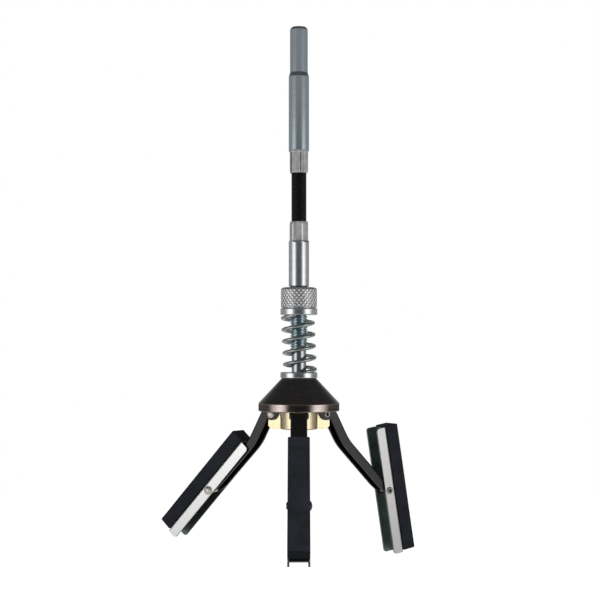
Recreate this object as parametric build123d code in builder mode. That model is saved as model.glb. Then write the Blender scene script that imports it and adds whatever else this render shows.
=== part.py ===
from build123d import *
import os
from math import cos, radians, sin

# Cylinder hone. Millimetres, +Z up, origin on the shank's axis at its shoulder.
# The shank points up, and the tool hangs below it with its arms spread.

# Clearances
press_gap = 0.02        # radial, a pin in the piece that holds it
running_gap = 0.05      # radial, a pin or thread in the piece that turns on it
sliding_gap = 0.1       # radial, a loose piece on the rod
seat_gap = 0.05         # between faces that press on each other but move apart
heel_gap = 0.16         # between the arms' heels and the cone's ceiling

# Drive shank and its ferrule
shank_d = 7.0
shank_len = 18.0
shank_chamfer = 0.5
shoulder_len = 1.5
ferrule_d = 8.0
ferrule_len = 39.35     # from the shoulder's upper edge to the mouth
crimp_flats = 7.0       # across the flats of the hexagonal crimp
upper_crimp_turn = 11.0 # degrees from the front round to a crimp's corner
lower_crimp_turn = 24.0
upper_crimp_len = 8.4
lower_crimp_len = 7.7
mouth_chamfer = 0.4
bore_relief = 0.5       # free depth past the cable's end in each socket

# Flexible cable
cable_d = 6.0
cable_core_d = 3.0
cable_free = 19.0       # length in the open, between the two mouths
upper_socket = 16.0     # length held in the shank's ferrule
lower_socket = 12.0     # length held in the spindle

# Spindle
body_len = 25.65
body_chamfer = 0.6
thread_d = 7.0
thread_len = 24.5
thread_chamfer = 0.5
rod_d = 5.7
tenon_d = 4.6           # reduced end that the hub is riveted on
peen_d = 6.0
peen_len = 0.7

# Knurled nut, washers and spring
nut_d = 14.2
nut_len = 8.1
nut_round = 1.1
nut_chamfer = 0.4
washer_d = 14.5
washer_edge = 0.25
upper_washer_len = 2.7
lower_washer_len = 2.4
spring_d = 13.3
spring_len = 22.2
spring_turns = 4.9
spring_start = -68.0    # degrees round the axis where the lower end begins
wire_d = 1.4

# Cone
cone_top_d = 13.4
rim_d = 31.7
rim_len = 2.8
rim_wall = 1.9
rim_edge = 0.3
cone_len = 12.75
recess_depth = 1.2

# Hub
hub_d = 14.6
hub_len = 8.3
hub_edge = 0.4
lug_w = 4.2
lug_reach = 12.7        # from the axis to a lug's end
lug_corner = 1.1        # chamfer that the closed arm's web passes
pin_circle_r = 10.85    # from the axis to a hub pin

# Arms
arm_w = 6.4
arm_wall = 1.0
arm_depth = 3.6
arm_bend_r = 18.0       # at the crank
arm_length = 42.4       # hub pin to rivet
arm_open = 42.6         # degrees off the axis of the line from hub pin to rivet
upper_run = 28.0        # degrees off the axis
lower_run = 44.0
upper_run_out = 4.57    # from the hub pin out to the web's outer face
lower_run_out = 1.55    # from the rivet out to the web's outer face
web_top_gap = 0.35      # under the cone's rim
fork_len = 5.0          # bare fork above the rivet, where the flanges narrow to its foot
ear_r = 2.4
heel_r = 1.2
heel_len = 2.53         # hub pin to the heel's centre
heel_rise = 29.6        # degrees above the horizontal

# Hub pins and rivets, headed at one end and hollow where the other is rolled over
pin_d = 2.2
pin_head_d = 3.0
pin_head_len = 0.65
rivet_d = 2.2
rivet_head_d = 3.5
rivet_head_len = 0.85
tail_roll = 0.3         # by which a rolled tail is wider than its shank, each side
tail_len = 0.5
tail_bore_d = 1.1
tail_bore_len = 1.2

# Stone holders
holder_w = 8.26
holder_wall = 0.8
holder_bend_r = 1.1
holder_up = 25.2        # rivet to the upper end
holder_down = 25.7      # rivet to the lower end
holder_out = 2.63       # rivet to the face that the stone lies on
holder_in = 1.88        # rivet to the legs' free edges
leg_corner_r = 1.2

# Stones
stone_w = 8.2
stone_len = 50.8
stone_thickness = 5.55
stone_shift = 0.55      # by which the stone sits higher than the holder
stone_edge = 0.35

# Direction of each arm round the axis, and tilt of its holder off the axis
azimuths = {"front": -90.0, "left": 150.0, "right": 30.0}
tilts = {"front": 41.75, "left": 42.97, "right": 9.54}

# Heights down the axis
mouth_z = -ferrule_len
socket_z = mouth_z - cable_free
body_end_z = socket_z - body_len
nut_top_z = body_end_z - seat_gap
nut_end_z = nut_top_z - nut_len
upper_washer_z = nut_end_z - seat_gap
spring_top_z = upper_washer_z - upper_washer_len
spring_end_z = spring_top_z - spring_len
cone_top_z = spring_end_z - lower_washer_len
rim_end_z = cone_top_z - cone_len
ceiling_z = rim_end_z + recess_depth
hub_top_z = ceiling_z - seat_gap
hub_end_z = hub_top_z - hub_len
heel_top = heel_len * sin(radians(heel_rise)) + heel_r
pin_z = ceiling_z - heel_gap - heel_top

# Rivet of an arm that points along +X
rivet_x = pin_circle_r + arm_length * sin(radians(arm_open))
rivet_z = pin_z - arm_length * cos(radians(arm_open))

os.makedirs("parts", exist_ok=True)


def run_direction(angle):
    """Direction down an arm's run, in the plane of the arm."""
    return Vector(sin(radians(angle)), 0, -cos(radians(angle)))


def run_normal(angle):
    """Outward normal of the web on an arm's run."""
    return Vector(cos(radians(angle)), 0, sin(radians(angle)))


def headed_pin(shank_r, head_r, head_len, grip):
    """Pin along Y through a grip: domed head at +Y, rolled hollow tail at -Y."""
    bore_r = tail_bore_d / 2
    bore_end = tail_bore_len - grip
    tail_lip = -grip - 0.6 * tail_len
    tail_r = shank_r + tail_roll
    head_side = grip + 0.3 * head_len
    with BuildPart() as pin:
        with BuildSketch():
            with BuildLine():
                Polyline((0, grip + head_len), (0, bore_end), (bore_r, bore_end), (bore_r, tail_lip))
                ThreePointArc((bore_r, tail_lip), ((bore_r + tail_r) / 2, -grip - tail_len), (tail_r, -grip))
                Polyline((tail_r, -grip), (shank_r, -grip), (shank_r, grip), (head_r, grip), (head_r, head_side))
                TangentArc((0, grip + head_len), (head_r, head_side), tangent=(1, 0))
            make_face()
        revolve(axis=Axis.Y)
    return pin


# What a hexagonal crimp with a corner at the front presses away from a ferrule
with BuildSketch() as crimp:
    Circle(ferrule_d)
    RegularPolygon(crimp_flats / 2, 6, major_radius=False, rotation=azimuths["front"], mode=Mode.SUBTRACT)

with BuildPart() as drive_shank:
    with BuildSketch(Plane.XZ):
        with BuildLine():
            Polyline(
                (0, shank_len),
                (shank_d / 2 - shank_chamfer, shank_len),
                (shank_d / 2, shank_len - shank_chamfer),
                (shank_d / 2, 0),
                (ferrule_d / 2, -shoulder_len),
                (ferrule_d / 2, mouth_z + mouth_chamfer),
                (ferrule_d / 2 - mouth_chamfer, mouth_z),
                (0, mouth_z),
                close=True,
            )
        make_face()
    revolve(axis=Axis.Z)
    with BuildSketch(Plane.XY.offset(mouth_z).rotated((0, 0, upper_crimp_turn))):
        add(crimp.sketch)
    extrude(amount=upper_crimp_len, mode=Mode.SUBTRACT)
    with BuildSketch(Plane.XY.offset(mouth_z)):
        Circle(cable_d / 2 + running_gap)
    extrude(amount=upper_socket + bore_relief, mode=Mode.SUBTRACT)

with BuildPart() as cable_core:
    with BuildSketch(Plane.XY.offset(socket_z - lower_socket)):
        Circle(cable_core_d / 2)
    extrude(amount=upper_socket + cable_free + lower_socket)

with BuildPart() as cable_winding:
    with BuildSketch(Plane.XY.offset(socket_z - lower_socket)):
        Circle(cable_d / 2)
        Circle(cable_core_d / 2 + press_gap, mode=Mode.SUBTRACT)
    extrude(amount=upper_socket + cable_free + lower_socket)

with BuildPart() as spindle:
    with BuildSketch(Plane.XZ):
        with BuildLine():
            Polyline(
                (0, socket_z),
                (ferrule_d / 2 - mouth_chamfer, socket_z),
                (ferrule_d / 2, socket_z - mouth_chamfer),
                (ferrule_d / 2, body_end_z + body_chamfer),
                (ferrule_d / 2 - body_chamfer, body_end_z),
                (thread_d / 2, body_end_z),
                (thread_d / 2, body_end_z - thread_len + thread_chamfer),
                (rod_d / 2, body_end_z - thread_len),
                (rod_d / 2, hub_top_z),
                (tenon_d / 2, hub_top_z),
                (tenon_d / 2, hub_end_z),
                (peen_d / 2, hub_end_z),
                (tenon_d / 2, hub_end_z - peen_len),
                (0, hub_end_z - peen_len),
                close=True,
            )
        make_face()
    revolve(axis=Axis.Z)
    with BuildSketch(Plane.XY.offset(socket_z).rotated((0, 0, lower_crimp_turn))):
        add(crimp.sketch)
    extrude(amount=-lower_crimp_len, mode=Mode.SUBTRACT)
    with BuildSketch(Plane.XY.offset(socket_z)):
        Circle(cable_d / 2 + running_gap)
    extrude(amount=-lower_socket - bore_relief, mode=Mode.SUBTRACT)

with BuildPart() as knurled_nut:
    with BuildSketch(Plane.XY.offset(nut_end_z)):
        Circle(nut_d / 2)
        Circle(thread_d / 2 + running_gap, mode=Mode.SUBTRACT)
    extrude(amount=nut_len)
    fillet(knurled_nut.faces().sort_by(Axis.Z)[-1].outer_wire().edges(), nut_round)
    chamfer(knurled_nut.faces().sort_by(Axis.Z)[0].outer_wire().edges(), nut_chamfer)

with BuildPart() as upper_washer:
    with BuildSketch(Plane.XY.offset(spring_top_z)):
        Circle(washer_d / 2)
        Circle(thread_d / 2 + sliding_gap, mode=Mode.SUBTRACT)
    extrude(amount=upper_washer_len)
    chamfer(upper_washer.edges().filter_by(GeomType.CIRCLE), washer_edge)

with BuildPart() as lower_washer:
    with BuildSketch(Plane.XY.offset(cone_top_z)):
        Circle(washer_d / 2)
        Circle(rod_d / 2 + sliding_gap, mode=Mode.SUBTRACT)
    extrude(amount=lower_washer_len)
    chamfer(lower_washer.edges().filter_by(GeomType.CIRCLE), washer_edge)

# Wire on a helix that runs past both seats, then ground flat at each end
with BuildPart() as spring:
    coil_r = (spring_d - wire_d) / 2
    coil_len = spring_len - seat_gap
    with BuildLine(Plane.XY.offset(spring_end_z).rotated((0, 0, spring_start))):
        coil = Helix(pitch=spring_len / spring_turns, height=coil_len, radius=coil_r)
    with BuildSketch(Plane(origin=coil @ 0, z_dir=coil % 0)):
        Circle(wire_d / 2)
    sweep(path=coil, is_frenet=True)
    with BuildSketch(Plane.XY.offset(spring_end_z)):
        Circle(spring_d)
    extrude(amount=coil_len, mode=Mode.INTERSECT)

with BuildPart() as cone:
    recess_r = rim_d / 2 - rim_wall
    with BuildSketch(Plane.XZ):
        with BuildLine():
            Polyline(
                (rod_d / 2 + sliding_gap, ceiling_z),
                (rod_d / 2 + sliding_gap, cone_top_z),
                (cone_top_d / 2, cone_top_z),
                (rim_d / 2, rim_end_z + rim_len),
                (rim_d / 2, rim_end_z),
                (recess_r, rim_end_z),
                (recess_r, ceiling_z),
                close=True,
            )
        make_face()
    revolve(axis=Axis.Z)
    fillet(cone.edges().filter_by(GeomType.CIRCLE).sort_by(SortBy.RADIUS)[-2:], rim_edge)

with BuildPart() as hub:
    with BuildSketch(Plane.XY.offset(hub_end_z)):
        Circle(hub_d / 2)
    extrude(amount=hub_len)
    chamfer(hub.edges().group_by(Axis.Z)[0], hub_edge)
    with BuildSketch(Plane.XZ):
        with BuildLine():
            Polyline(
                (0, hub_top_z),
                (lug_reach, hub_top_z),
                (lug_reach, hub_end_z + lug_corner),
                (lug_reach - lug_corner, hub_end_z),
                (0, hub_end_z),
                close=True,
            )
        make_face()
        with Locations((pin_circle_r, pin_z)):
            Circle(pin_d / 2 + press_gap, mode=Mode.SUBTRACT)
    lug = extrude(amount=lug_w / 2, both=True, mode=Mode.PRIVATE)
    for azimuth in azimuths.values():
        with Locations(Location((0, 0, 0), (0, 0, azimuth))):
            add(lug)
    with BuildSketch(Plane.XY.offset(hub_end_z)):
        Circle(tenon_d / 2 + press_gap)
    extrude(amount=hub_len, mode=Mode.SUBTRACT)

# Arm that points along +X: a U-section swept along the web, with ears at the
# hub pin, heels that reach into the cone and a forked foot at the rivet
with BuildPart() as arm:
    pin_point = Vector(pin_circle_r, 0, pin_z)
    rivet_point = Vector(rivet_x, 0, rivet_z)
    upper_normal = run_normal(upper_run)
    lower_normal = run_normal(lower_run)
    upper_web = pin_point + upper_normal * upper_run_out
    lower_web = rivet_point + lower_normal * lower_run_out
    upper_reach = (lower_web - upper_web).dot(lower_normal) / run_direction(upper_run).dot(lower_normal)
    crank = upper_web + run_direction(upper_run) * upper_reach
    web_top = upper_web - run_direction(upper_run) * arm_depth
    web_foot = lower_web - run_direction(lower_run) * fork_len
    with BuildLine():
        web_line = FilletPolyline(web_top, crank, web_foot, radius=arm_bend_r)
    with BuildSketch(Plane(origin=web_line @ 0, x_dir=(0, 1, 0), z_dir=web_line % 0)) as section:
        with Locations((0, -arm_depth / 2)):
            Rectangle(arm_w, arm_depth)
        fillet(section.vertices().group_by(Axis.Y)[-1], arm_wall)
        with Locations((0, -arm_wall - arm_depth / 2)):
            Rectangle(arm_w - 2 * arm_wall, arm_depth, mode=Mode.SUBTRACT)
    sweep(path=web_line)
    split(bisect_by=Plane.XY.offset(rim_end_z - web_top_gap), keep=Keep.BOTTOM)
    heel_x = pin_circle_r - heel_len * cos(radians(heel_rise))
    heel_z = pin_z + heel_len * sin(radians(heel_rise))
    foot_plane = Plane(origin=rivet_point, x_dir=lower_normal, z_dir=(0, -1, 0))
    for side_y in (-arm_w / 2, arm_w / 2 - arm_wall):
        with BuildSketch(Plane.XZ.offset(side_y)):
            with Locations((pin_circle_r, pin_z)):
                Circle(ear_r)
            with Locations((heel_x, heel_z)):
                Circle(heel_r)
            make_hull()
        with BuildSketch(foot_plane.offset(side_y)):
            Circle(lower_run_out)
            with Locations((lower_run_out - (arm_depth + arm_wall) / 2, fork_len + arm_wall / 2)):
                Rectangle(arm_depth - arm_wall, arm_wall)
            make_hull()
        extrude(amount=arm_wall)
    with BuildSketch(Plane.XZ):
        with Locations((pin_circle_r, pin_z)):
            Circle(pin_d / 2 + running_gap)
        with Locations((rivet_x, rivet_z)):
            Circle(rivet_d / 2 + running_gap)
    extrude(amount=arm_w, both=True, mode=Mode.SUBTRACT)

hub_pin = headed_pin(pin_d / 2, pin_head_d / 2, pin_head_len, arm_w / 2 + seat_gap)
rivet = headed_pin(rivet_d / 2, rivet_head_d / 2, rivet_head_len, holder_w / 2)

# Holder and stone about the rivet's centre: +X out, +Z up the holder
with BuildPart() as holder:
    with BuildSketch(Plane.XY.offset(-holder_down)) as channel:
        with Locations(((holder_out - holder_in) / 2, 0)):
            Rectangle(holder_out + holder_in, holder_w)
        fillet(channel.vertices().group_by(Axis.X)[-1], holder_bend_r)
        with Locations(((holder_out - holder_in) / 2 - holder_wall, 0)):
            Rectangle(holder_out + holder_in, holder_w - 2 * holder_wall, mode=Mode.SUBTRACT)
    extrude(amount=holder_up + holder_down)
    fillet(holder.edges().filter_by(Axis.Y).group_by(Axis.X)[0], leg_corner_r)
    with BuildSketch(Plane.XZ):
        Circle(rivet_d / 2 + press_gap)
    extrude(amount=holder_w, both=True, mode=Mode.SUBTRACT)

with BuildPart() as stone:
    stone_z = (holder_up - holder_down) / 2 + stone_shift
    with Locations((holder_out + stone_thickness / 2, 0, stone_z)):
        Box(stone_thickness, stone_w, stone_len)
    chamfer(stone.edges(), stone_edge)

for piece, label in (
    (drive_shank, "drive_shank"),
    (cable_core, "cable_core"),
    (cable_winding, "cable_winding"),
    (spindle, "spindle"),
    (knurled_nut, "knurled_nut"),
    (upper_washer, "upper_washer"),
    (spring, "spring"),
    (lower_washer, "lower_washer"),
    (cone, "cone"),
    (hub, "hub"),
):
    piece.part.label = label
    export_step(piece.part, f"parts/{label}.step")

# Three sets of the repeated pieces, each turned to its place
for side, azimuth in azimuths.items():
    about_axis = Location((0, 0, 0), (0, 0, azimuth))
    at_pin = about_axis * Location((pin_circle_r, 0, pin_z))
    at_rivet = about_axis * Location((rivet_x, 0, rivet_z), (0, -tilts[side], 0))
    for piece, label, place in (
        (arm, "arm", about_axis),
        (hub_pin, "hub_pin", at_pin),
        (holder, "holder", at_rivet),
        (rivet, "rivet", at_rivet),
        (stone, "stone", at_rivet),
    ):
        with BuildPart() as placed:
            with Locations(place):
                add(piece.part)
        placed.part.label = f"{label}_{side}"
        export_step(placed.part, f"parts/{label}_{side}.step")
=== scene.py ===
"""Looks of a cylinder hone: flexible drive cable, spring-loaded cone and hub, and three swivelling stones."""

from math import asin, atan2, ceil, cos, hypot, pi, radians, sin, sqrt, tan

import bpy
from bpy.props import FloatProperty, FloatVectorProperty, IntProperty, PointerProperty
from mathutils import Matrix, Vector


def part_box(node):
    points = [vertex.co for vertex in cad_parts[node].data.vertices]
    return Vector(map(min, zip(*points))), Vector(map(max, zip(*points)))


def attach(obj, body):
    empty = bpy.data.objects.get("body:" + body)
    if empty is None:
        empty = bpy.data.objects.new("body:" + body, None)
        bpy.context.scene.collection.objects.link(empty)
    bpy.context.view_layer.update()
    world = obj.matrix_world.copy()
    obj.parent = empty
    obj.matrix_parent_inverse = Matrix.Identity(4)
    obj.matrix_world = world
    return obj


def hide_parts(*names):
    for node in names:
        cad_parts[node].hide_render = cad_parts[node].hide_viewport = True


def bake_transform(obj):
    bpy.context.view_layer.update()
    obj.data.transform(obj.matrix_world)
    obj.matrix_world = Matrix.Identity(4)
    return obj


bl_info = {
    "name": "Cylinder Hone",
    "version": (1, 0, 0),
    "blender": (4, 5, 0),
    "location": "View3D > Sidebar > Hone",
    "description": "Dresses a cylinder hone: sockets, wound cable, knurled nut, spring, arms and stones",
    "category": "Object",
}

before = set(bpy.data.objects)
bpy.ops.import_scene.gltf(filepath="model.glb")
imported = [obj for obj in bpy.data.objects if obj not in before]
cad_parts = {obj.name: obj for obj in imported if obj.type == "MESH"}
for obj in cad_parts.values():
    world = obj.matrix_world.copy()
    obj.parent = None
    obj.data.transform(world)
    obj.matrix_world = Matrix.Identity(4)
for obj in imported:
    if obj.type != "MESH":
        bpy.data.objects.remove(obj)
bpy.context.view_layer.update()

MM = 0.001
STEPS = 96                  # sides of a turned piece
MERGE = MM / 1000           # points closer than this are one
RUNNING_GAP = 0.05 * MM     # radial, round a cable or thread
SLIDING_GAP = 0.1 * MM      # radial, round the rod
END_RING = 0.3 * MM         # innermost ring of a solid end, which a flat face fills
SIDES = ("front", "left", "right")
# Direction of each arm round the axis, and tilt of its holder off the axis
AZIMUTHS = {"front": radians(-90), "left": radians(150), "right": radians(30)}
TILTS = {"front": radians(41.75), "left": radians(42.97), "right": radians(9.54)}
# How light each side's finishes are painted: lit and shaded copies of one zinc or steel, which paint light
# and shade per side
OUTSIDE_PAINTED_LIGHT = {"front": 1.0, "left": 1.55, "right": 1.05}
INSIDE_PAINTED_SHADE = {"front": 0.4, "left": 0.5, "right": 0.95}
PIN_PAINTED_SHADE = {"front": 0.15, "left": 1.0, "right": 0.45}


def low(node):
    """Height of a node's lowest point."""
    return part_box(node)[0].z


def high(node):
    """Height of a node's highest point."""
    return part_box(node)[1].z


# Heights down the axis that several pieces share
MOUTH = low("drive_shank")
SOCKET = high("spindle")
CABLE_MIDDLE = (MOUTH + SOCKET) / 2
BODY_END = high("knurled_nut")
HUB_TOP = high("hub")
HUB_END = low("hub")


def length(name, text, default):
    """A size in metres for the sidebar."""
    return FloatProperty(name=name, description=text, default=default, min=0, subtype="DISTANCE",
                         unit="LENGTH")


def colour(name, text, red, green, blue):
    """A colour for the sidebar."""
    return FloatVectorProperty(name=name, description=text, default=(red, green, blue, 1), size=4,
                               min=0, max=1, subtype="COLOR")


class HoneSizes(bpy.types.PropertyGroup):
    """Sizes of the hone's details."""

    shank: length("Shank", "Diameter of the plain end that the chuck grips", 7.0 * MM)
    ferrule: length("Ferrule", "Diameter of the two sockets that hold the cable", 8.0 * MM)
    flats: length("Crimp flats", "Width across the flats of the hexagonal crimps", 6.6 * MM)
    upper_crimp: length("Upper crimp", "Length of the crimp on the shank's ferrule", 8.4 * MM)
    lower_crimp: length("Lower crimp", "Length of the crimp on the spindle", 7.7 * MM)
    cable: length("Cable", "Diameter of the flexible cable", 6.0 * MM)
    strand: length("Strand", "Diameter of one wire of the cable's winding", 0.78 * MM)
    lay: length("Lay", "Length in which a wire goes once round the cable", 4.0 * MM)
    strands: IntProperty(name="Strands", description="Wires side by side in the winding", default=5, min=1)
    thread: length("Thread", "Outer diameter of the adjusting thread", 7.0 * MM)
    pitch: length("Pitch", "Pitch of the adjusting thread", 1.0 * MM)
    thread_length: length("Thread length", "Length of the adjusting thread", 24.5 * MM)
    rod: length("Rod", "Diameter of the rod below the thread", 5.7 * MM)
    knurls: IntProperty(name="Knurls", description="Diamonds round the nut", default=26, min=8)
    knurl_height: length("Knurl height", "Height of one diamond along the nut", 1.92 * MM)
    knurl_depth: length("Knurl depth", "How far the diamonds stand up", 0.28 * MM)
    lean: FloatProperty(name="Spring lean", description="Tilt of the spring towards the left at its top",
                        default=radians(2.6), subtype="ANGLE", unit="ROTATION")
    spring: length("Spring", "Outer diameter of the spring", 13.3 * MM)
    wire: length("Spring wire", "Diameter of the spring's wire", 1.4 * MM)
    turns: FloatProperty(name="Spring turns", description="Turns of the spring", default=4.9, min=1)
    sheet_edge: length("Sheet edge", "Rounding of the edges of arms and holders", 0.13 * MM)
    stone_edge: length("Stone edge", "Rounding of the stones' chamfers", 0.12 * MM)


class HoneColours(bpy.types.PropertyGroup):
    """Colours of the hone's finishes."""

    shank: colour("Shank", "Satin zinc of the shank", 0.42, 0.48, 0.52)
    spindle: colour("Spindle", "Bright zinc of the spindle", 0.56, 0.575, 0.60)
    crimp: colour("Crimps", "Duller zinc where the jaws pressed", 0.42, 0.42, 0.42)
    thread: colour("Thread", "Blue-tinted zinc of the thread", 0.44, 0.54, 0.57)
    nut: colour("Nut", "Bright zinc of the knurled nut", 0.97, 0.975, 0.99)
    # The grooves' colour is painted shade in the knurl's grooves
    groove: colour("Grooves", "Dull zinc in the grooves of the knurl", 0.26, 0.263, 0.27)
    washer: colour("Washers", "Bright zinc of the washers", 0.60, 0.615, 0.63)
    spring: colour("Spring", "Plated spring wire", 0.45, 0.475, 0.48)
    cable: colour("Cable", "Blackened wire of the cable", 0.0025, 0.0025, 0.0025)
    black: colour("Black oxide", "Black finish of the cone's flank", 0.098, 0.094, 0.092)
    # The rim's colour is partly burnished wear and partly painted light that brightens its highlights
    rim: colour("Rim", "Burnished black oxide of the cone's rim", 0.30, 0.262, 0.242)
    arm: colour("Arms", "Black finish of the arms", 0.046, 0.0455, 0.046)
    brass: colour("Brass", "Machined brass of the hub", 0.80, 0.69, 0.45)
    holder: colour("Holders", "Zinc-plated sheet of the holders", 0.62, 0.615, 0.605)
    # The holders' inside colour is darker than their zinc as painted shade inside the channels
    inside: colour("Holder insides", "Dull passivated inner side of the holders", 0.28, 0.335, 0.315)
    pin: colour("Hub pins", "Steel of the pins through the hub", 0.85, 0.80, 0.76)
    rivet: colour("Rivets", "Steel of the holders' rivets", 0.80, 0.75, 0.69)
    stone: colour("Stones", "Bond and grain of the stones", 0.0185, 0.0215, 0.0280)


def sizes():
    """Sizes that the sidebar holds."""
    return bpy.context.scene.hone_sizes


def colours():
    """Colours that the sidebar holds."""
    return bpy.context.scene.hone_colours


# Modelling


def deselect():
    """Clear the selection."""
    bpy.ops.object.select_all(action="DESELECT")


def take(piece):
    """Select one piece alone and make it active."""
    deselect()
    piece.select_set(True)
    bpy.context.view_layer.objects.active = piece


def edit(piece):
    """Open a piece in edit mode with all of it selected."""
    take(piece)
    bpy.ops.object.mode_set(mode="EDIT")
    bpy.ops.mesh.select_all(action="SELECT")


def close_edit():
    """Point all faces outwards and leave edit mode."""
    bpy.ops.mesh.select_all(action="SELECT")
    bpy.ops.mesh.normals_make_consistent(inside=False)
    bpy.ops.object.mode_set(mode="OBJECT")


def named(name):
    """Name the piece that was just added."""
    piece = bpy.context.object
    piece.name = name
    piece.data.name = name
    return piece


def settle(piece, smooth=30):
    """Bring a piece's place into its mesh and shade its gentle edges smooth."""
    take(piece)
    bpy.ops.object.transform_apply(location=True, rotation=True, scale=True)
    bpy.ops.object.shade_smooth_by_angle(angle=radians(smooth))
    return piece


def apply(piece, kind, **settings):
    """Put one modifier on a piece and apply it."""
    take(piece)
    modifier = piece.modifiers.new(kind.title(), kind)
    for setting, value in settings.items():
        setattr(modifier, setting, value)
    bpy.ops.object.modifier_apply(modifier=modifier.name)


def rounded(corners, arc_steps=4, hold=0.04 * MM):
    """Outline of (radius, height) points in which a corner's third value is the radius of its arc.

    A support loop on each side of an arc keeps the straight stretches beside it from shading round.
    """
    outline = []
    for index, corner in enumerate(corners):
        point = Vector(corner[:2])
        if len(corner) == 2:
            outline.append(tuple(point))
            continue
        before = (Vector(corners[index - 1][:2]) - point).normalized()
        after = (Vector(corners[(index + 1) % len(corners)][:2]) - point).normalized()
        half = before.angle(after) / 2
        centre = point + (before + after).normalized() * corner[2] / sin(half)
        first = point + before * corner[2] / tan(half) - centre
        last = point + after * corner[2] / tan(half) - centre
        outline.append(tuple(centre + first + before * hold))
        for step in range(arc_steps + 1):
            share = step / arc_steps
            outline.append(tuple(centre + (first * (1 - share) + last * share).normalized() * corner[2]))
        outline.append(tuple(centre + last + after * hold))
    return outline


def turn(name, corners, ring=False, steps=STEPS):
    """Turned piece: a circle that is extruded and scaled from each corner of its outline to the next."""
    outline = rounded(corners)
    if ring:
        outline.append(outline[0])
    radius, height = outline[0]
    deselect()
    fill = "NOTHING" if ring else "NGON"
    bpy.ops.mesh.primitive_circle_add(vertices=steps, radius=radius, fill_type=fill, location=(0, 0, height))
    piece = named(name)
    settle(piece)
    edit(piece)
    for next_radius, next_height in outline[1:]:
        bpy.ops.mesh.extrude_region_move(TRANSFORM_OT_translate={"value": (0, 0, next_height - height)})
        scale = next_radius / radius
        if scale != 1:
            bpy.ops.transform.resize(value=(scale, scale, 1), center_override=(0, 0, next_height))
        radius, height = next_radius, next_height
    if ring:
        bpy.ops.mesh.select_all(action="SELECT")
        bpy.ops.mesh.remove_doubles(threshold=MERGE)
    close_edit()
    return settle(piece)


CRIMP_LIP = 0.9 * MM        # tapered stretch at a crimp's mouth
CRIMP_TAPER = 0.2 * MM
CRIMP_FLARE = 0.5 * MM      # step of the run-out at its other end
RIDGES = 1.06               # ridges lie beyond this many times the flats' distance from the axis


def crimp(piece, mouth, depth, corner, ridge):
    """Press six flats into a ferrule from its mouth.

    depth is the crimp's length, negative where it runs down from the mouth. corner is a ridge's
    direction round the axis, and ridge is how wide the ridges are rounded.
    """
    way = 1 if depth > 0 else -1
    step = way * CRIMP_FLARE
    across = sizes().flats / 2 / cos(pi / 6)
    clear = across * 3
    far = mouth + way * 60 * MM
    stations = (
        (across - CRIMP_TAPER, mouth - way * MM),
        (across - CRIMP_TAPER, mouth),
        (across, mouth + way * CRIMP_LIP),
        (across, mouth + depth - step),
        (across + 0.3 * CRIMP_FLARE, mouth + depth),
        (across + 1.2 * CRIMP_FLARE, mouth + depth + step),
        (across + 3.2 * CRIMP_FLARE, mouth + depth + 2 * step),
        (clear, mouth + depth + 2.2 * step),
        (clear, far),
    )
    die = turn("die", stations, steps=6)
    edit(die)
    start = atan2(die.data.vertices[0].co.y, die.data.vertices[0].co.x)
    bpy.ops.transform.rotate(value=start - corner, orient_axis="Z", center_override=(0, 0, 0))
    bpy.ops.object.mode_set(mode="OBJECT")
    apply(die, "BEVEL", width=ridge, segments=3, limit_method="ANGLE", angle_limit=radians(50))
    apply(piece, "BOOLEAN", operation="INTERSECT", object=die, solver="EXACT")
    bpy.data.objects.remove(die)
    settle(piece, smooth=24)
    apply(piece, "WEIGHTED_NORMAL", keep_sharp=True, weight=90)


def screwed(name, angle, rise, steps):
    """Sweep the selected section round the axis and close its ends."""
    piece = named(name)
    apply(piece, "SCREW", angle=angle, screw_offset=rise, steps=steps, render_steps=steps,
          use_merge_vertices=False)
    edit(piece)
    bpy.ops.mesh.fill_holes(sides=0)
    close_edit()
    return settle(piece, smooth=40)


def wire_section(radius, distance, azimuth, height, climb, sides):
    """Circle across a helix, at one place on it."""
    tangent = Vector((-sin(azimuth) * cos(climb), cos(azimuth) * cos(climb), sin(climb)))
    bpy.ops.mesh.primitive_circle_add(
        vertices=sides, radius=radius, fill_type="NOTHING",
        location=(distance * cos(azimuth), distance * sin(azimuth), height),
        rotation=tangent.to_track_quat("Z", "Y").to_euler())
    bpy.ops.object.transform_apply(location=True, rotation=True, scale=True)


def trim(piece, height, keep):
    """Cut a piece flat at a height, keep what is above or below, and close the cut."""
    edit(piece)
    bpy.ops.mesh.bisect(plane_co=(0, 0, height), plane_no=(0, 0, 1), use_fill=True,
                        clear_inner=keep == "above", clear_outer=keep == "below")
    close_edit()


def dressed(node, name, edge):
    """Copy of a rigid node with its edges rounded."""
    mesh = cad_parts[node].data.copy()
    mesh.name = name
    mesh.materials.clear()
    piece = bpy.data.objects.new(name, mesh)
    bpy.context.scene.collection.objects.link(piece)
    take(piece)
    bpy.ops.mesh.customdata_custom_splitnormals_clear()
    edit(piece)
    bpy.ops.mesh.remove_doubles(threshold=MERGE)
    bpy.ops.mesh.select_all(action="SELECT")
    bpy.ops.mesh.dissolve_limited(angle_limit=radians(0.4))
    close_edit()
    apply(piece, "BEVEL", width=edge, segments=2, limit_method="ANGLE", angle_limit=radians(35))
    settle(piece, smooth=32)
    apply(piece, "WEIGHTED_NORMAL", keep_sharp=True, weight=90)
    return piece


def refinish(piece, material, bottom, top, beyond=0.0):
    """Give another finish to the faces between two heights that lie beyond a distance from the axis."""
    piece.data.materials.append(material)
    for face in piece.data.polygons:
        if bottom < face.center.z < top and hypot(face.center.x, face.center.y) > beyond:
            face.material_index = len(piece.data.materials) - 1


def dress(piece, material, slot, body, *nodes):
    """Give a piece its finish and body, and hide the nodes it stands for."""
    piece.data.materials.clear()
    piece.data.materials.append(material)
    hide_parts(*nodes)
    if body:
        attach(piece, body)


# Materials


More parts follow.
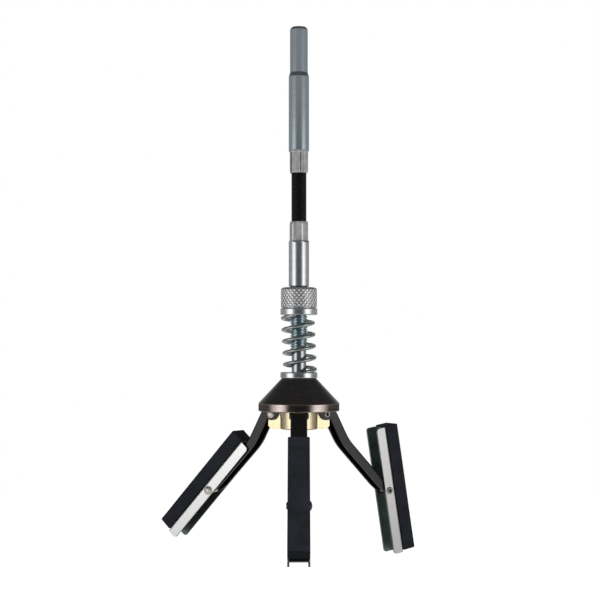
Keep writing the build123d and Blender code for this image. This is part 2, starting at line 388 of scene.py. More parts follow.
class Wire:
    """A value in a material's node tree that takes part in maths."""

    def __init__(self, tree, socket=None):
        self.tree = tree
        self.socket = socket

    def node(self, kind, settings=None, inputs=None, output=0):
        """Add a node: its settings first, then the values or links of its sockets."""
        node = self.tree.nodes.new(kind)
        for setting, value in (settings or {}).items():
            setattr(node, setting, value)
        for name, value in (inputs or {}).items():
            if isinstance(value, Wire):
                self.tree.links.new(value.socket, node.inputs[name])
            else:
                node.inputs[name].default_value = value
        return Wire(self.tree, node.outputs[output] if node.outputs else None)

    def maths(self, operation, first, second):
        """Result of an operation on two values or links."""
        return self.node("ShaderNodeMath", {"operation": operation}, {0: first, 1: second})

    def __add__(self, other):
        return self.maths("ADD", self, other)

    __radd__ = __add__

    def __sub__(self, other):
        return self.maths("SUBTRACT", self, other)

    def __rsub__(self, other):
        return self.maths("SUBTRACT", other, self)

    def __mul__(self, other):
        return self.maths("MULTIPLY", self, other)

    __rmul__ = __mul__

    def between(self, start, end):
        """0 below start, 1 above end, smooth between them."""
        return self.node("ShaderNodeMapRange", {"interpolation_type": "SMOOTHSTEP"},
                         {"Value": self, "From Min": start, "From Max": end})

    def pick(self, first, second):
        """Colour that goes from the first to the second as this value goes from 0 to 1."""
        return self.node("ShaderNodeMix", {"data_type": "RGBA"}, {0: self, 6: first, 7: second}, output=2)


def place(tree, *turns, stretch=(1, 1, 1)):
    """Object coordinates, turned and then stretched for a pattern that runs one way."""
    where = Wire(tree).node("ShaderNodeTexCoord", output=3)
    for angles in turns:
        where = where.node("ShaderNodeMapping", {}, {"Vector": where, "Rotation": angles})
    return where.node("ShaderNodeMapping", {}, {"Vector": where, "Scale": stretch})


def noise(where, scale, detail=2.0, roughness=0.5):
    """Noise of about the given number of grains per metre."""
    return where.node("ShaderNodeTexNoise", {}, {"Vector": where, "Scale": scale, "Detail": detail,
                                                 "Roughness": roughness})


def shade(paint, share):
    """A colour made lighter or darker by a factor."""
    return tuple(min(1.0, channel * share) for channel in paint[:3]) + (1.0,)


def new_material(name, paint):
    """Empty material and its node tree."""
    material = bpy.data.materials.new(name)
    material.use_nodes = True
    material.diffuse_color = paint
    material.node_tree.nodes.clear()
    return material, material.node_tree


def output(surface):
    """Send a shader to the material's output."""
    surface.node("ShaderNodeOutputMaterial", {}, {"Surface": surface})


def finish(tree, base, roughness, relief=None, depth=0.0, metallic=1.0, **extra):
    """Finish, metallic unless told otherwise, with a relief of the given depth in metres."""
    inputs = {"Base Color": base, "Roughness": roughness, "Metallic": metallic, **extra}
    if relief is not None:
        bump = {"Height": relief, "Distance": depth, "Strength": 1.0}
        inputs["Normal"] = relief.node("ShaderNodeBump", {}, bump)
    output(Wire(tree).node("ShaderNodeBsdfPrincipled", {}, inputs))


def turned_metal(name, paint, roughness, ring_scale=5200, blotch=0.10):
    """Metal with fine rings from turning and a cloudy finish."""
    material, tree = new_material(name, paint)
    rings = noise(place(tree, stretch=(0.02, 0.02, 1)), ring_scale, detail=3)
    clouds = noise(place(tree), 420, detail=4, roughness=0.6)
    tone = rings * 0.5 + clouds * 0.5
    base = tone.between(0.3, 0.7).pick(shade(paint, 1 - blotch), shade(paint, 1 + blotch))
    finish(tree, base, roughness + (tone - 0.5) * 0.12, rings, 0.0001 * MM)
    return material


def crimped_metal(name, paint, roughness=0.46):
    """Duller zinc, scratched lengthwise by the crimping jaws."""
    material, tree = new_material(name, paint)
    scratches = noise(place(tree, stretch=(1, 1, 0.06)), 1500, detail=5, roughness=0.65)
    clouds = noise(place(tree), 500, detail=3)
    tone = scratches * 0.65 + clouds * 0.35
    base = tone.between(0.36, 0.62).pick(shade(paint, 0.72), shade(paint, 1.2))
    finish(tree, base, roughness + (tone - 0.5) * 0.2, scratches, 0.001 * MM)
    return material


def cable_metal():
    """Blackened wire with a little grime."""
    paint = colours().cable
    material, tree = new_material("cable_black", paint)
    grime = noise(place(tree), 1500, detail=3)
    base = grime.between(0.45, 0.75).pick(tuple(paint), shade(paint, 2.0))
    finish(tree, base, 0.25 + (grime - 0.5) * 0.2, grime, 0.004 * MM, metallic=0.0,
           **{"Specular IOR Level": 0.28})
    return material


def black_oxide(name, paint, roughness, rings):
    """Black oxide on steel: fine mottling, with turning rings if it was turned."""
    material, tree = new_material(name, paint)
    stretch = (0.03, 0.03, 1) if rings else (1, 1, 1)
    marks = noise(place(tree, stretch=stretch), 3600 if rings else 2600, detail=4, roughness=0.6)
    mottle = noise(place(tree), 700, detail=5, roughness=0.65)
    tone = marks * 0.4 + mottle * 0.6
    warm = shade((paint[0] * 1.12, paint[1] * 1.04, paint[2]), 1.35)
    base = tone.between(0.4, 0.72).pick(tuple(paint), warm)
    finish(tree, base, roughness + (tone - 0.5) * 0.2, marks, 0.0015 * MM)
    return material


def hub_brass():
    """Pale machined brass with fine specks and turning marks."""
    paint = colours().brass
    material, tree = new_material("hub_brass", paint)
    rings = noise(place(tree, stretch=(1, 1, 0.12)), 2600, detail=3)
    specks = noise(place(tree), 5200, detail=2)
    base = specks.between(0.42, 0.68).pick(shade(paint, 1.04), shade(paint, 0.90))
    finish(tree, base, 0.29 + (rings - 0.5) * 0.15, rings, 0.002 * MM)
    return material


def sheet_zinc(name, side, paint, roughness, contrast):
    """Zinc on sheet steel, with grain along the holder of the given side."""
    material, tree = new_material(f"{name}_{side}", paint)
    upright = ((0, 0, -AZIMUTHS[side]), (0, TILTS[side], 0))
    grain = noise(place(tree, *upright, stretch=(1, 1, 0.06)), 3600, detail=4, roughness=0.6)
    clouds = noise(place(tree), 240, detail=4, roughness=0.55)
    tone = grain * 0.5 + clouds * 0.5
    base = tone.between(0.3, 0.7).pick(shade(paint, 1 - contrast), shade(paint, 1 + contrast))
    finish(tree, base, roughness + (tone - 0.5) * 0.15, grain, 0.002 * MM)
    return material


def stone_grit(name, paint):
    """Fine dark abrasive in a matt bond."""
    material, tree = new_material(name, paint)
    grit = noise(place(tree), 5200, detail=3, roughness=0.7)
    clouds = noise(place(tree), 160, detail=4, roughness=0.6)
    glints = noise(place(tree), 9000, detail=1)
    body = clouds.between(0.3, 0.7).pick(shade(paint, 0.82), shade(paint, 1.25))
    base = glints.between(0.70, 0.80).pick(body, shade(paint, 3.4))
    finish(tree, base, 0.74 + (grit - 0.5) * 0.3, grit, 0.035 * MM, metallic=0.0,
           **{"Specular IOR Level": 0.2})
    return material


# The stage


CAMERA_PLACE = (0.43 * MM, -617.4 * MM, -101.4 * MM)
CAMERA_PITCH = radians(91.15)
CAMERA_LENS = 94.85         # with a sensor 36 wide
FLOOR = -207.0 * MM
FLOOR_RADIUS = 520.0 * MM
LAMP_TOP = 34.0 * MM
LAMP_DISTANCE = 750.0 * MM
LAMP_RADIANCE = 3.8
# Brightness of the room in the metal, where 1 is white
WALLS = 0.42
CEILING_DROP = 0.30         # by which it is darker overhead
SKIRTING_DROP = 0.34        # and low down
GLOW = 1.45                 # extra brightness left and right of the front
SKIRTING_GLOW = 0.9         # and more of it low down
FRONT = 0.13
FRONT_DROP = 0.12           # by which the front is darker low down
FLOOR_IN_METAL = 0.32
FLOOR_GLOW = 0.92           # of the floor's white that the lamps don't give it
# Soft light of the room on dull surfaces
FILL = 0.25
FILL_RISE = 0.42            # by which it grows towards the ceiling


def softbox(name, azimuth, width):
    """Upright lamp that stands on the floor round the object; azimuth 0 is the camera's side."""
    middle = (FLOOR + LAMP_TOP) / 2
    tall = LAMP_TOP - FLOOR
    where = Vector((sin(azimuth), -cos(azimuth), 0)) * LAMP_DISTANCE + Vector((0, 0, middle))
    facing = Vector((0, 0, middle)) - where
    bpy.ops.object.light_add(type="AREA", location=where, rotation=facing.to_track_quat("-Z", "Y").to_euler())
    lamp = bpy.context.object
    lamp.name = name
    lamp.data.shape = "RECTANGLE"
    lamp.data.size = width
    lamp.data.size_y = tall
    lamp.data.energy = LAMP_RADIANCE * pi * width * tall
    lamp.visible_camera = False
    lamp.visible_glossy = False


def studio_world():
    """White to the camera; metal sees grey walls, a glow each side of a dark front, and a white backdrop."""
    world = bpy.data.worlds.new("studio")
    world.use_nodes = True
    tree = world.node_tree
    tree.nodes.clear()
    light = Wire(tree)
    direction = light.node("ShaderNodeTexCoord")
    y_part = light.node("ShaderNodeSeparateXYZ", {}, {0: direction}, output=1)
    z_part = light.node("ShaderNodeSeparateXYZ", {}, {0: direction}, output=2)
    camera_ray = light.node("ShaderNodeLightPath", output=0)
    glossy_ray = light.node("ShaderNodeLightPath", output=3)
    through_ray = light.node("ShaderNodeLightPath", output=6)
    ahead = y_part * -1.0
    ceiling = z_part.between(0.22, 0.50)
    skirting = 1 - z_part.between(-0.046, -0.028)
    beside = ahead.between(-0.14, 0.616) * (1 - ahead.between(0.62, 0.90))
    glow = beside * (1 - z_part.between(0.07, 0.145))
    front = ahead.between(0.80, 0.97) * (1 - z_part.between(0.10, 0.145))
    backdrop = y_part.between(0.955, 0.99)
    room = WALLS - ceiling * CEILING_DROP - skirting * SKIRTING_DROP
    room = room + glow * (GLOW + skirting * SKIRTING_GLOW)
    room = room * (1 - front) + front * (FRONT - skirting * FRONT_DROP)
    room = room * (1 - backdrop) + backdrop
    fill = FILL + z_part.between(-0.3, 0.5) * FILL_RISE
    mirror = light.maths("MINIMUM", glossy_ray + through_ray, 1.0)
    level = room * mirror + (1 - mirror) * fill
    level = camera_ray + (1 - camera_ray) * level
    tone = light.node("ShaderNodeCombineColor", {}, {0: level, 1: level, 2: level})
    back = light.node("ShaderNodeBackground", {}, {"Color": tone, "Strength": 1.0})
    light.node("ShaderNodeOutputWorld", {}, {"Surface": back})
    bpy.context.scene.world = world


def floor_material():
    """Pale floor that keeps soft shadows near the object and goes over to plain white."""
    material, tree = new_material("pale_floor", (1, 1, 1, 1))
    light = Wire(tree)
    coordinates = light.node("ShaderNodeTexCoord", output=3)
    distance = light.node("ShaderNodeVectorMath", {"operation": "LENGTH"}, {0: coordinates}, output=1)
    camera_ray = light.node("ShaderNodeLightPath", output=0)
    glossy_ray = light.node("ShaderNodeLightPath", output=3)
    through_ray = light.node("ShaderNodeLightPath", output=6)
    mirror = light.maths("MINIMUM", glossy_ray + through_ray, 1.0)
    seen = light.maths("MINIMUM", camera_ray + mirror, 1.0)
    paint = light.node("ShaderNodeBsdfDiffuse", {}, {"Color": (0.3, 0.3, 0.3, 1)})
    glow = camera_ray * FLOOR_GLOW + mirror * FLOOR_IN_METAL
    lift = light.node("ShaderNodeEmission", {}, {"Color": (1, 1, 1, 1), "Strength": glow})
    near = light.node("ShaderNodeAddShader", {}, {0: paint, 1: lift})
    white = light.node("ShaderNodeEmission", {}, {"Color": (1, 1, 1, 1), "Strength": seen})
    edge = distance.between(400 * MM, 530 * MM)
    output(light.node("ShaderNodeMixShader", {}, {0: edge, 1: near, 2: white}))
    return material


class HONE_OT_stage(bpy.types.Operator):
    """Add the camera, floor, lamps and world"""

    bl_idname = "hone.stage"
    bl_label = "Stage"

    def execute(self, context):
        deselect()
        bpy.ops.object.camera_add(location=CAMERA_PLACE, rotation=(CAMERA_PITCH, 0, 0))
        camera = context.object
        camera.data.lens = CAMERA_LENS
        camera.data.sensor_width = 36
        context.scene.camera = camera
        bpy.ops.mesh.primitive_circle_add(vertices=STEPS, radius=FLOOR_RADIUS, fill_type="NGON",
                                          location=(0, 0, FLOOR))
        floor = settle(named("floor"))
        floor.data.materials.append(floor_material())
        softbox("softbox_left", azimuth=radians(-54), width=330 * MM)
        softbox("softbox_right", azimuth=radians(48), width=300 * MM)
        studio_world()
        context.scene.view_settings.view_transform = "Standard"
        return {"FINISHED"}


# The hone's pieces


class HONE_OT_shank(bpy.types.Operator):
    """Turn the drive shank and crimp its ferrule"""

    bl_idname = "hone.shank"
    bl_label = "Drive shank"

    def execute(self, context):
        size = sizes()
        grip = size.shank / 2
        outer = size.ferrule / 2
        bore = size.cable / 2 + RUNNING_GAP
        top = high("drive_shank")
        dome = 0.8 * MM
        shoulder = 1.5 * MM
        chamfer = 0.45 * MM
        socket_depth = 16.4 * MM
        piece = turn("drive_shank_turned", (
            (END_RING, top - 0.02 * MM),
            (grip - dome, top - 0.05 * MM, 0.6 * MM),
            (grip, top - dome - 0.15 * MM, dome),
            (grip, 0, 0.9 * MM),
            (outer, -shoulder, 1.1 * MM),
            (outer, MOUTH + chamfer, 0.35 * MM),
            (outer - chamfer, MOUTH, 0.15 * MM),
            (bore, MOUTH, 0.1 * MM),
            (bore, MOUTH + socket_depth),
        ))
        crimp(piece, MOUTH, size.upper_crimp, corner=radians(-79), ridge=0.2 * MM)
        material = turned_metal("shank_zinc", colours().shank, 0.14, blotch=0.04)
        dress(piece, material, "shank_steel", "chuck_end", "drive_shank")
        paint = colours().crimp
        crimp_end = MOUTH + size.upper_crimp
        pressed = crimped_metal("crimp_zinc", shade(paint, 1.15))
        refinish(piece, pressed, MOUTH - MM, crimp_end + 0.3 * MM)
        # The ridges between the upper crimp's flats are painted nearly black: painted shade
        painted_ridge_shade = crimped_metal("painted_ridge_shade_zinc", shade(paint, 0.08))
        refinish(piece, painted_ridge_shade, MOUTH + CRIMP_LIP, crimp_end - CRIMP_FLARE, beyond=size.flats / 2 * RIDGES)
        return {"FINISHED"}


class HONE_OT_cable(bpy.types.Operator):
    """Wind the flexible cable in two halves that meet at its middle"""

    bl_idname = "hone.cable"
    bl_label = "Flexible cable"

    def execute(self, context):
        size = sizes()
        hidden = 1.5 * MM           # of each end, inside its socket
        turn_steps = 28
        core_radius = 1.5 * MM
        core_loops = 12
        distance = (size.cable - size.strand) / 2
        climb = atan2(size.lay, 2 * pi * distance)
        material = cable_metal()
        for half, rise, parent, child, start, end in (
            ("upper", MOUTH + hidden - CABLE_MIDDLE, "chuck_end", "cable", MOUTH, CABLE_MIDDLE),
            ("lower", SOCKET - hidden - CABLE_MIDDLE, "cable", "spindle", CABLE_MIDDLE, SOCKET),
        ):
            deselect()
            for strand in range(size.strands):
                azimuth = 2 * pi * strand / size.strands
                wire_section(size.strand / 2, distance, azimuth, CABLE_MIDDLE, -climb, sides=12)
                if strand:
                    first.select_set(True)
                    context.view_layer.objects.active = first
                    bpy.ops.object.join()
                first = context.object
            turns = -rise / size.lay
            winding = screwed(f"cable_winding_{half}", 2 * pi * turns, rise, ceil(abs(turns) * turn_steps))
            dress(winding, material, "cable_black", None, "cable_winding")
            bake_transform(winding)
            loops = [(core_radius, CABLE_MIDDLE + rise * step / core_loops) for step in range(core_loops + 1)]
            core = turn(f"cable_core_{half}", loops, steps=24)
            dress(core, material, "cable_steel", None, "cable_core")
            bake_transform(core)
        return {"FINISHED"}


THREAD_DEPTH = 0.6134       # depth of a metric thread, in pitches


class HONE_OT_spindle(bpy.types.Operator):
    """Turn the spindle's socket and rod and cut its thread"""

    bl_idname = "hone.spindle"
    bl_label = "Spindle"

    def execute(self, context):
        size = sizes()
        paint = colours()
        outer = size.ferrule / 2
        bore = size.cable / 2 + RUNNING_GAP
        socket_depth = 12.4 * MM
        lip = 0.4 * MM
        chamfer = 0.6 * MM
        foot = BODY_END + 0.02 * MM
        socket = turn("spindle_socket", (
            (bore, SOCKET - socket_depth),
            (bore, SOCKET, 0.1 * MM),
            (outer - lip, SOCKET, 0.15 * MM),
            (outer, SOCKET - lip, 0.3 * MM),
            (outer, BODY_END + chamfer, 0.15 * MM),
            (outer - chamfer, foot, 0.1 * MM),
            (END_RING, foot),
        ))
        crimp(socket, SOCKET, -size.lower_crimp, corner=radians(-71.5), ridge=0.34 * MM)
        self.dress_steel(socket, turned_metal("spindle_zinc", paint.spindle, 0.17))
        crimp_end = SOCKET - size.lower_crimp
        pressed = crimped_metal("socket_crimp_zinc", shade(paint.crimp, 1.6))
        refinish(socket, pressed, crimp_end - 0.3 * MM, SOCKET + MM)
        # The lower crimp's ridges are painted much brighter than the socket's zinc: partly the unpressed
        # zinc, partly a painted highlight
        ridges = crimped_metal("ridge_zinc_highlight", shade(paint.crimp, 2.2), 0.2)
        refinish(socket, ridges, crimp_end + CRIMP_FLARE, SOCKET - CRIMP_LIP, beyond=size.flats / 2 * RIDGES)
        self.dress_steel(self.cut_thread(size), turned_metal("thread_zinc", paint.thread, 0.22))
        tenon = 2.3 * MM
        peen = 2.95 * MM
        inside = 2 * MM             # of the rod's end, within the thread
        rod = turn("spindle_rod", (
            (size.rod / 2, BODY_END - size.thread_length + inside),
            (size.rod / 2, HUB_TOP, 0.1 * MM),
            (tenon, HUB_TOP),
            (tenon, HUB_END),
            (peen, HUB_END, 0.1 * MM),
            (tenon, low("spindle"), 0.4 * MM),
            (END_RING, low("spindle")),
        ))
        # The rod is painted darker than the rest of the spindle: painted shade where the spring shades it
        self.dress_steel(rod, turned_metal("rod_zinc_spring_shade", shade(paint.spindle, 0.7), 0.18))
        return {"FINISHED"}

    def dress_steel(self, piece, material):
        """Dress one of the three pieces that stand for the spindle."""
        dress(piece, material, "spindle_steel", "spindle", "spindle")

    def cut_thread(self, size):
        """Sweep one pitch of a thread of about 60 degrees down the spindle and cut its ends flat."""
        crest = size.thread / 2
        root = crest - THREAD_DEPTH * size.pitch
        start = BODY_END + size.pitch
        deselect()
        bpy.ops.mesh.primitive_circle_add(vertices=3, radius=size.pitch, fill_type="NOTHING")
        piece = named("spindle_thread")
        edit(piece)
        bpy.ops.mesh.delete(type="VERT")
        bpy.ops.object.mode_set(mode="OBJECT")
        outline = (
            (root, start),
            (root, start - size.pitch / 8),
            (crest, start - size.pitch * 7 / 16),
            (crest, start - size.pitch * 9 / 16),
            (root, start - size.pitch * 15 / 16),
            (root, start - size.pitch),
        )
        piece.data.from_pydata([(radius, 0, height) for radius, height in outline],
                               [(index, index + 1) for index in range(len(outline) - 1)], [])
        turns = ceil(size.thread_length / size.pitch) + 2
        apply(piece, "SCREW", angle=-2 * pi, screw_offset=-size.pitch, iterations=turns, steps=48,
              render_steps=48, use_merge_vertices=True, merge_threshold=MERGE)
        edit(piece)
        bpy.ops.mesh.remove_doubles(threshold=MERGE)
        close_edit()
        trim(piece, BODY_END, "below")
        trim(piece, BODY_END - size.thread_length, "above")
        return settle(piece, smooth=25)


HAIR = 0.02 * MM            # smallest step between the knurl's faces and the blank's


def knurled_metal(root, crest):
    """Bright zinc on the diamonds' tops, painted darker towards the grooves between them as painted shade."""
    material, tree = new_material("nut_zinc", colours().nut)
    flat = place(tree, stretch=(1, 1, 0))
    distance = flat.node("ShaderNodeVectorMath", {"operation": "LENGTH"}, {0: flat}, output=1)
    marks = noise(place(tree), 2400, detail=3)
    tall = crest - root
    clear_of_groove_shade = distance.between(root + tall * 0.1, root + tall * 0.7)
    base = clear_of_groove_shade.pick(tuple(colours().groove), tuple(colours().nut))
    finish(tree, base, 0.33 + (marks - 0.5) * 0.15)
    return material


class HONE_OT_nut(bpy.types.Operator):
    """Turn the nut's blank and raise its diamond knurl"""

    bl_idname = "hone.nut"
    bl_label = "Knurled nut"

    def execute(self, context):
        size = sizes()
        low_corner, high_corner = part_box("knurled_nut")
        outer = high_corner.x
        top, bottom = high_corner.z, low_corner.z
        root = outer - size.knurl_depth
        bore = size.thread / 2 + RUNNING_GAP
        bore_edge = 0.2 * MM
        chamfer = 0.3 * MM
        rounding = 1.1 * MM
        blank = turn("knurled_nut_blank", (
            (bore, bottom, bore_edge),
            (root - chamfer, bottom, 0.08 * MM),
            (root, bottom + chamfer, 0.1 * MM),
            (root, top, rounding - 0.1 * MM),
            (bore, top, bore_edge),
        ), ring=True)
        knurl = self.raise_knurl(size, root, outer, bottom + chamfer + HAIR, top, rounding)
        blank_zinc = turned_metal("nut_blank_zinc", colours().nut, 0.25)
        dress(blank, blank_zinc, "nut_steel", "knurled_nut", "knurled_nut")
        dress(knurl, knurled_metal(root, outer - 0.06 * MM), "nut_steel", "knurled_nut", "knurled_nut")
        return {"FINISHED"}

    def raise_knurl(self, size, root, outer, bottom, top, rounding):
        """Lay diamonds out flat in two sets, trim them to the band and wrap them round the blank."""
        wide = 2 * pi * root / size.knurls
        tall = size.knurl_height
        rows = ceil((top - bottom) / tall) + 1
        plain = 0.4 * MM            # of the nut's rounded top
        sets = []
        for shift in (0, 0.5):
            deselect()
            bpy.ops.mesh.primitive_circle_add(vertices=4, radius=wide / 2, fill_type="NGON",
                                              location=(shift * wide, shift * tall, 0))
            diamond = named("knurled_nut_diamonds")
            bpy.ops.transform.resize(value=(1, tall / wide, 1), center_override=diamond.location)
            settle(diamond)
            edit(diamond)
            centre = Vector((shift * wide, shift * tall, 0))
            for share, shrink in ((0.68, 0.68), (0.32, 0.4)):
                rise = size.knurl_depth * share
                bpy.ops.mesh.extrude_region_move(TRANSFORM_OT_translate={"value": (0, 0, rise)})
                bpy.ops.transform.resize(value=(shrink, shrink, 1), center_override=centre)
            close_edit()
            for count, step in ((size.knurls, (wide, 0, 0)), (rows, (0, tall, 0))):
                apply(diamond, "ARRAY", count=count, use_relative_offset=False, use_constant_offset=True,
                      constant_offset_displace=step)
            sets.append(diamond)
        take(sets[0])
        sets[1].select_set(True)
        bpy.ops.object.join()
        knurl = sets[0]
        edit(knurl)
        bpy.ops.mesh.bisect(plane_co=(0, HAIR, 0), plane_no=(0, 1, 0), use_fill=True, clear_inner=True)
        bpy.ops.mesh.select_all(action="SELECT")
        knurl_end = top - bottom - plain
        bpy.ops.mesh.bisect(plane_co=(0, knurl_end, 0), plane_no=(0, 1, 0), use_fill=True, clear_outer=True)
        close_edit()
        for vertex in knurl.data.vertices:
            height = bottom + vertex.co.y
            past = max(0.0, height - (top - rounding))
            limit = outer - rounding + sqrt(max(0.0, rounding ** 2 - past ** 2))
            radius = min(root - HAIR + vertex.co.z, limit - HAIR / 2)
            azimuth = vertex.co.x / root
            vertex.co = (radius * cos(azimuth), radius * sin(azimuth), height)
        edit(knurl)
        close_edit()
        return settle(knurl, smooth=5)


class HONE_OT_washers(bpy.types.Operator):
    """Turn the two thick washers"""

    bl_idname = "hone.washers"
    bl_label = "Washers"

    def execute(self, context):
        size = sizes()
        material = turned_metal("washer_zinc", colours().washer, 0.18)
        for node, body, bore in (
            ("upper_washer", "upper_washer", size.thread / 2 + SLIDING_GAP),
            ("lower_washer", "cone", size.rod / 2 + SLIDING_GAP),
        ):
            low_corner, high_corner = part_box(node)
            outer = high_corner.x
            edge = 0.4 * MM
            bore_edge = 0.1 * MM
            piece = turn(f"{node}_turned", (
                (bore, low_corner.z, bore_edge),
                (outer, low_corner.z, edge),
                (outer, high_corner.z, edge),
                (bore, high_corner.z, bore_edge),
            ), ring=True)
            dress(piece, material, "washer_steel", body, node)
        return {"FINISHED"}


class HONE_OT_spring(bpy.types.Operator):
    """Wind the spring in half turns between the washers"""

    bl_idname = "hone.spring"
    bl_label = "Spring"

    def execute(self, context):
        size = sizes()
        low_corner, high_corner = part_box("spring")
        bottom, top = low_corner.z, high_corner.z
        distance = (size.spring - size.wire) / 2
        tall = top - bottom
        middle = (0, 0, (bottom + top) / 2)
        climb = atan2(tall, 2 * pi * distance * size.turns)
        material = self.wire_finish()
        start = radians(-68)
        overrun = radians(10)       # past each end of the wire, before the ends are ground flat
        ground = 0.75               # turns at each end that the grinding can reach
        foot = 0.5                  # turns in the lowest piece
        others = 9
        step = (size.turns - foot) / others
        bounds = [0.0] + [foot + step * index for index in range(others + 1)]
        for index, (first, last) in enumerate(zip(bounds, bounds[1:])):
            deselect()
            from_angle = start + 2 * pi * first
            span = 2 * pi * (last - first)
            before = overrun if index == 0 else 0.0
            after = overrun if index == others else 0.0
            wire_section(size.wire / 2, distance, from_angle - before,
                         bottom + tall * (first - before / (2 * pi)) / size.turns, climb, sides=20)
            swept = before + span + after
            piece = screwed(f"spring_{index}", swept, tall * swept / (2 * pi) / size.turns, steps=30)
            edit(piece)
            bpy.ops.transform.rotate(value=size.lean, orient_axis="Y", center_override=middle)
            bpy.ops.object.mode_set(mode="OBJECT")
            if first < ground:
                trim(piece, bottom, "above")
            if last > size.turns - ground:
                trim(piece, top, "below")
            settle(piece, smooth=40)
            dress(piece, material, "spring_steel", None, "spring")
            if index == 0:
                self.follow(piece, "cone", "spindle", from_angle, span, distance, 0.0, 1.0)
            else:
                self.follow(piece, "spindle", "upper_washer", from_angle, span, distance,
                            (index - 1) / others, index / others)
        return {"FINISHED"}

    def follow(self, piece, parent, child, from_angle, span, distance, first, last):
        """Work out a blend of a half turn along its chord, which is not applied, and bring its place into its
        mesh.
        """
        middle = from_angle + span / 2
        along = Vector((-sin(middle), cos(middle), 0))
        near = 0.5 - sin(asin(1 - 2 * first) / 3)
        far = 0.5 - sin(asin(1 - 2 * last) / 3)
        chord = 2 * distance * sin(span / 2)
        reach = chord / (far - near)
        begin = along * (-chord / 2 - near * reach)
        tuple(begin + along * reach)
        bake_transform(piece)

    def wire_finish(self):
        """Plated wire, a little warm, with marks along it from drawing and coiling."""
        paint = colours().spring
        material, tree = new_material("spring_wire", paint)
        marks = noise(place(tree, stretch=(1, 1, 0.4)), 1800, detail=4, roughness=0.6)
        base = marks.between(0.35, 0.7).pick(shade(paint, 0.85), shade(paint, 1.12))
        finish(tree, base, 0.14 + (marks - 0.5) * 0.1, marks, 0.001 * MM)
        return material


class HONE_OT_cone(bpy.types.Operator):
    """Turn the cone with its upright rim and hollow underside"""

    bl_idname = "hone.cone"
    bl_label = "Cone"

    def execute(self, context):
        size = sizes()
        low_corner, high_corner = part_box("cone")
        rim = high_corner.x
        bore = size.rod / 2 + SLIDING_GAP
        bottom, top = low_corner.z, high_corner.z
        recess = rim - 1.9 * MM
        ceiling = bottom + 1.2 * MM
        shoulder = bottom + 3.0 * MM
        top_radius = 6.7 * MM
        piece = turn("cone_turned", (
            (bore, ceiling),
            (recess, ceiling, 0.2 * MM),
            (recess, bottom, 0.12 * MM),
            (rim, bottom, 0.28 * MM),
            (rim, shoulder, 0.3 * MM),
            (top_radius, top, 0.15 * MM),
            (bore, top, 0.1 * MM),
        ), ring=True)
        flank = black_oxide("cone_oxide", colours().black, 0.30, rings=True)
        dress(piece, flank, "cone_black", "cone", "cone")
        # The rim's black oxide is painted three times lighter than the flank's: partly burnished wear, partly
        # a lit copy that paints brighter highlights
        burnished_and_lit = black_oxide("rim_oxide", colours().rim, 0.09, rings=True)
        refinish(piece, burnished_and_lit, bottom - MM, shoulder + 0.05 * MM)
        return {"FINISHED"}


class HONE_OT_hub(bpy.types.Operator):
    """Dress the three-lug brass hub"""

    bl_idname = "hone.hub"
    bl_label = "Hub"

    def execute(self, context):
        piece = dressed("hub", "hub_machined", edge=0.1 * MM)
        dress(piece, hub_brass(), "hub_brass", "spindle", "hub")
        return {"FINISHED"}


class HONE_OT_arms(bpy.types.Operator):
    """Dress the three pressed arms"""

    bl_idname = "hone.arms"
    bl_label = "Arms"

    def execute(self, context):
        material = black_oxide("arm_oxide", colours().arm, 0.36, rings=False)
        for side in SIDES:
            piece = dressed(f"arm_{side}", f"arm_{side}_pressed", sizes().sheet_edge)
            dress(piece, material, "arm_black", f"arm_{side}", f"arm_{side}")
        return {"FINISHED"}


class HONE_OT_pins(bpy.types.Operator):
    """Finish the hub pins and the rivets"""

    bl_idname = "hone.pins"
    bl_label = "Pins and rivets"

    def execute(self, context):
        for kind, paint in (("hub_pin", colours().pin), ("rivet", colours().rivet)):
            for side in SIDES:
                # Each side's pins and rivets are a lit or shaded copy of one steel: painted light and shade
                material = turned_metal(f"{kind}_steel_{side}", shade(paint, PIN_PAINTED_SHADE[side]), 0.28,
                                        ring_scale=2600, blotch=0.02)
                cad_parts[f"{kind}_{side}"].material_slots[0].material = material
        return {"FINISHED"}


# A face belongs to a leg's side or a stone's end when its normal's share that way is more than this
LEG_FACE = 0.6
END_FACE = 0.8


class HONE_OT_holders(bpy.types.Operator):
    """Dress the three stone holders"""

    bl_idname = "hone.holders"
    bl_label = "Stone holders"

    def execute(self, context):
        paint = colours()
        for side in SIDES:
            piece = dressed(f"holder_{side}", f"holder_{side}_pressed", sizes().sheet_edge)
            # Each side's outside is a lit copy and its inside a darker copy of the holders' zinc: painted
            # light and painted shade
            outside = sheet_zinc("holder_zinc", side, shade(paint.holder, OUTSIDE_PAINTED_LIGHT[side]), 0.38, 0.06)
            inside = sheet_zinc("holder_inside", side, shade(paint.inside, INSIDE_PAINTED_SHADE[side]), 0.42, 0.2)
            dress(piece, outside, "holder_zinc", f"holder_{side}", f"holder_{side}")
            piece.data.materials.append(inside)
            # Every face but the legs' outer sides takes the darker inside finish: painted shade inside and
            # under the channel
            across = Vector((-sin(AZIMUTHS[side]), cos(AZIMUTHS[side]), 0))
            for face in piece.data.polygons:
                facing = face.normal.dot(across)
                outwards = facing * face.center.dot(across) > 0
                if not (outwards and abs(facing) > LEG_FACE):
                    face.material_index = 1
        return {"FINISHED"}


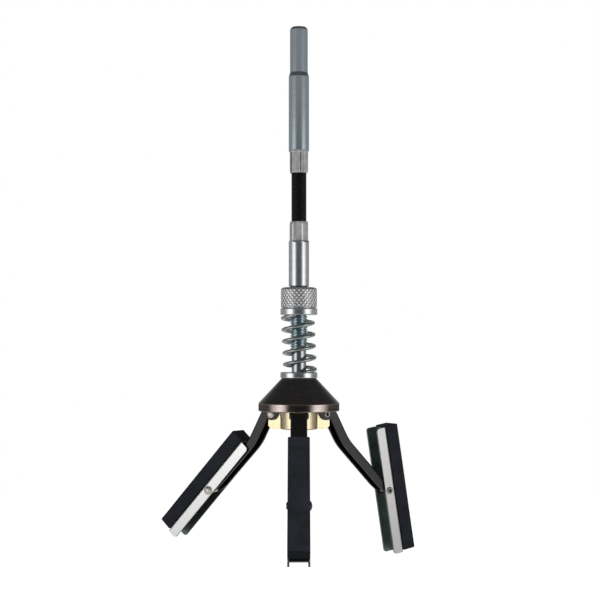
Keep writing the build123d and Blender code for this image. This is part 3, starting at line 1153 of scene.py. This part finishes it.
class HONE_OT_stones(bpy.types.Operator):
    """Dress the three honing stones"""

    bl_idname = "hone.stones"
    bl_label = "Stones"

    def execute(self, context):
        ground = stone_grit("stone_ground", colours().stone)
        # The stones' end faces are painted darker than their ground faces: painted shade on the ends
        painted_end_shade = stone_grit("stone_painted_end_shade", shade(colours().stone, 0.4))
        for side in SIDES:
            piece = dressed(f"stone_{side}", f"stone_{side}_ground", sizes().stone_edge)
            dress(piece, ground, "stone_dark", f"holder_{side}", f"stone_{side}")
            piece.data.materials.append(painted_end_shade)
            inwards = -sin(TILTS[side])
            along = Vector((inwards * cos(AZIMUTHS[side]), inwards * sin(AZIMUTHS[side]), cos(TILTS[side])))
            for face in piece.data.polygons:
                if abs(face.normal.dot(along)) > END_FACE:
                    face.material_index = 1
        return {"FINISHED"}


OPERATORS = (
    HONE_OT_stage,
    HONE_OT_shank,
    HONE_OT_cable,
    HONE_OT_spindle,
    HONE_OT_nut,
    HONE_OT_washers,
    HONE_OT_spring,
    HONE_OT_cone,
    HONE_OT_hub,
    HONE_OT_arms,
    HONE_OT_pins,
    HONE_OT_holders,
    HONE_OT_stones,
)


class HONE_PT_sidebar(bpy.types.Panel):
    """Sizes, colours and steps of the hone"""

    bl_idname = "HONE_PT_sidebar"
    bl_label = "Cylinder Hone"
    bl_space_type = "VIEW_3D"
    bl_region_type = "UI"
    bl_category = "Hone"

    def draw(self, context):
        layout = self.layout
        for group in (sizes(), colours()):
            for name in group.bl_rna.properties.keys():
                if name not in ("rna_type", "name"):
                    layout.prop(group, name)
        for operator in OPERATORS:
            layout.operator(operator.bl_idname)


CLASSES = (HoneSizes, HoneColours) + OPERATORS + (HONE_PT_sidebar,)


def register():
    for item in CLASSES:
        bpy.utils.register_class(item)
    bpy.types.Scene.hone_sizes = PointerProperty(type=HoneSizes)
    bpy.types.Scene.hone_colours = PointerProperty(type=HoneColours)


def unregister():
    del bpy.types.Scene.hone_colours
    del bpy.types.Scene.hone_sizes
    for item in reversed(CLASSES):
        bpy.utils.unregister_class(item)


def main():
    register()
    for operator in OPERATORS:
        getattr(bpy.ops.hone, operator.bl_idname.split(".")[1])()


if __name__ == "__main__":
    main()
